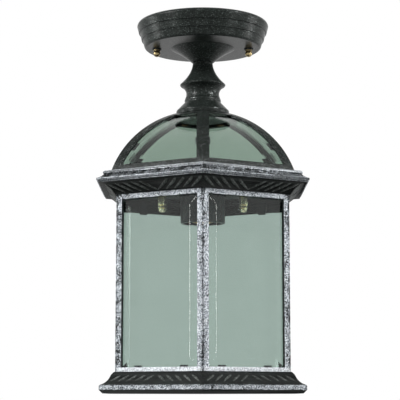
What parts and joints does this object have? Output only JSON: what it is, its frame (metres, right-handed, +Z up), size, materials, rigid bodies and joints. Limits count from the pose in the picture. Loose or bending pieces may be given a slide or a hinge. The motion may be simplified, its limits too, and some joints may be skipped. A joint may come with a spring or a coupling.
{
  "type": "porch ceiling lantern",
  "caption": "Hexagonal close-ceiling porch lantern: domed ribbed glass roof and a bevelled glass cage, hung from a round stepped canopy.",
  "frame": {"origin": "centre of the mounting strap's top face, on the ceiling", "axes": "+Z up into the ceiling, the lantern hangs towards -Z; a corner of the hexagon faces -Y, flat faces look along +X and -X"},
  "size_m": [0.1958, 0.226, 0.356],
  "materials": {
    "strap_steel": "zinc-plated strip steel, dull",
    "earth_green": "green-dipped earth screw",
    "iron_cast": "near-black textured coat with a fine silver speckle, over cast aluminium",
    "silver_cast": "antique black and silver speckled coat, silver rubbed on the raised edges, over cast aluminium",
    "zinc_steel": "zinc-plated steel",
    "black_steel": "black-painted sheet steel, low sheen",
    "nut_brass": "polished brass, fine knurl on the thumb nuts",
    "contact_brass": "pressed brass, plain",
    "holder_black": "moulded black phenolic, soft gloss",
    "lead_brown": "silicone-sleeved lead, brown",
    "lead_blue": "silicone-sleeved lead, blue",
    "cap_orange": "moulded wire cap, orange",
    "tinted_glass": "grey-green tinted, ground and polished bevel round each pane"
  },
  "bodies": {
    "ceiling_mount": {"mounting_strap": "strap_steel", "canopy_studs": "strap_steel", "stud_locknuts": "strap_steel", "earth_screw": "earth_green"},
    "lantern": {"canopy": "iron_cast", "hanging_tube": "zinc_steel", "tube_top_nut": "zinc_steel", "tube_lockwasher": "zinc_steel", "tube_bottom_nut": "zinc_steel", "stem": "iron_cast", "crown": "iron_cast", "roof_frame": "iron_cast", "roof_glass_1": "tinted_glass", "roof_glass_2": "tinted_glass", "roof_glass_3": "tinted_glass", "roof_glass_4": "tinted_glass", "roof_glass_5": "tinted_glass", "roof_glass_6": "tinted_glass", "roof_glass_clips": "black_steel", "cornice": "silver_cast", "roof_bar": "zinc_steel", "cage_studs": "zinc_steel", "cage_stud_nuts": "zinc_steel", "stud_pillars": "zinc_steel", "lampholder_cap": "holder_black", "lampholder_body": "holder_black", "screw_shell": "contact_brass", "centre_contact": "contact_brass", "live_lead": "lead_brown", "neutral_lead": "lead_blue", "wire_caps": "cap_orange"},
    "cage": {"cage_plate": "black_steel", "plate_screws": "zinc_steel", "cage_side_1": "silver_cast", "cage_side_2": "silver_cast", "cage_side_3": "silver_cast", "cage_side_4": "silver_cast", "cage_side_5": "silver_cast", "cage_side_6": "silver_cast", "pane_1": "tinted_glass", "pane_2": "tinted_glass", "pane_3": "tinted_glass", "pane_4": "tinted_glass", "pane_5": "tinted_glass", "pane_6": "tinted_glass", "pane_clips": "zinc_steel", "skirt": "silver_cast", "skirt_screws": "zinc_steel"},
    "ball_washer_left": {"ball_washer_left": "black_steel"},
    "ball_nut_left": {"ball_nut_left": "nut_brass"},
    "ball_washer_right": {"ball_washer_right": "black_steel"},
    "ball_nut_right": {"ball_nut_right": "nut_brass"},
    "thumb_washer_left": {"thumb_washer_left": "nut_brass"},
    "thumb_nut_left": {"thumb_nut_left": "nut_brass"},
    "thumb_washer_right": {"thumb_washer_right": "nut_brass"},
    "thumb_nut_right": {"thumb_nut_right": "nut_brass"}
  },
  "joints": [
    {"name": "lantern_drop", "type": "slide", "parent": "ceiling_mount", "child": "lantern", "axis": [0, 0, -1], "range_m": [0, 0.045]},
    {"name": "cage_drop", "type": "slide", "parent": "lantern", "child": "cage", "axis": [0, 0, -1], "range_m": [0, 0.06]},
    {"name": "ball_nut_left_travel", "type": "slide", "parent": "lantern", "child": "ball_washer_left", "axis": [0, 0, -1], "range_m": [0, 0.00556]},
    {"name": "ball_nut_left_turn", "type": "hinge", "parent": "ball_washer_left", "child": "ball_nut_left", "pos_m": [-0.04445, 0, -0.0258], "axis": [0, 0, -1], "range_deg": [0, 2521]},
    {"name": "ball_nut_right_travel", "type": "slide", "parent": "lantern", "child": "ball_washer_right", "axis": [0, 0, -1], "range_m": [0, 0.00556]},
    {"name": "ball_nut_right_turn", "type": "hinge", "parent": "ball_washer_right", "child": "ball_nut_right", "pos_m": [0.04445, 0, -0.0258], "axis": [0, 0, -1], "range_deg": [0, 2521]},
    {"name": "thumb_nut_left_travel", "type": "slide", "parent": "cage", "child": "thumb_washer_left", "axis": [0, 0, -1], "range_m": [0, 0.01191]},
    {"name": "thumb_nut_left_turn", "type": "hinge", "parent": "thumb_washer_left", "child": "thumb_nut_left", "pos_m": [-0.03835, 0, -0.1707], "axis": [0, 0, -1], "range_deg": [0, 5401]},
    {"name": "thumb_nut_right_travel", "type": "slide", "parent": "cage", "child": "thumb_washer_right", "axis": [0, 0, -1], "range_m": [0, 0.01191]},
    {"name": "thumb_nut_right_turn", "type": "hinge", "parent": "thumb_washer_right", "child": "thumb_nut_right", "pos_m": [0.03835, 0, -0.1707], "axis": [0, 0, -1], "range_deg": [0, 5401]}
  ],
  "couplings": [
    {"joint": "ball_nut_left_turn", "follows": "ball_nut_left_travel", "rad_per_m": 7915.3},
    {"joint": "ball_nut_right_turn", "follows": "ball_nut_right_travel", "rad_per_m": 7915.3},
    {"joint": "thumb_nut_left_turn", "follows": "thumb_nut_left_travel", "rad_per_m": 7915.3},
    {"joint": "thumb_nut_right_turn", "follows": "thumb_nut_right_travel", "rad_per_m": 7915.3}
  ]
}
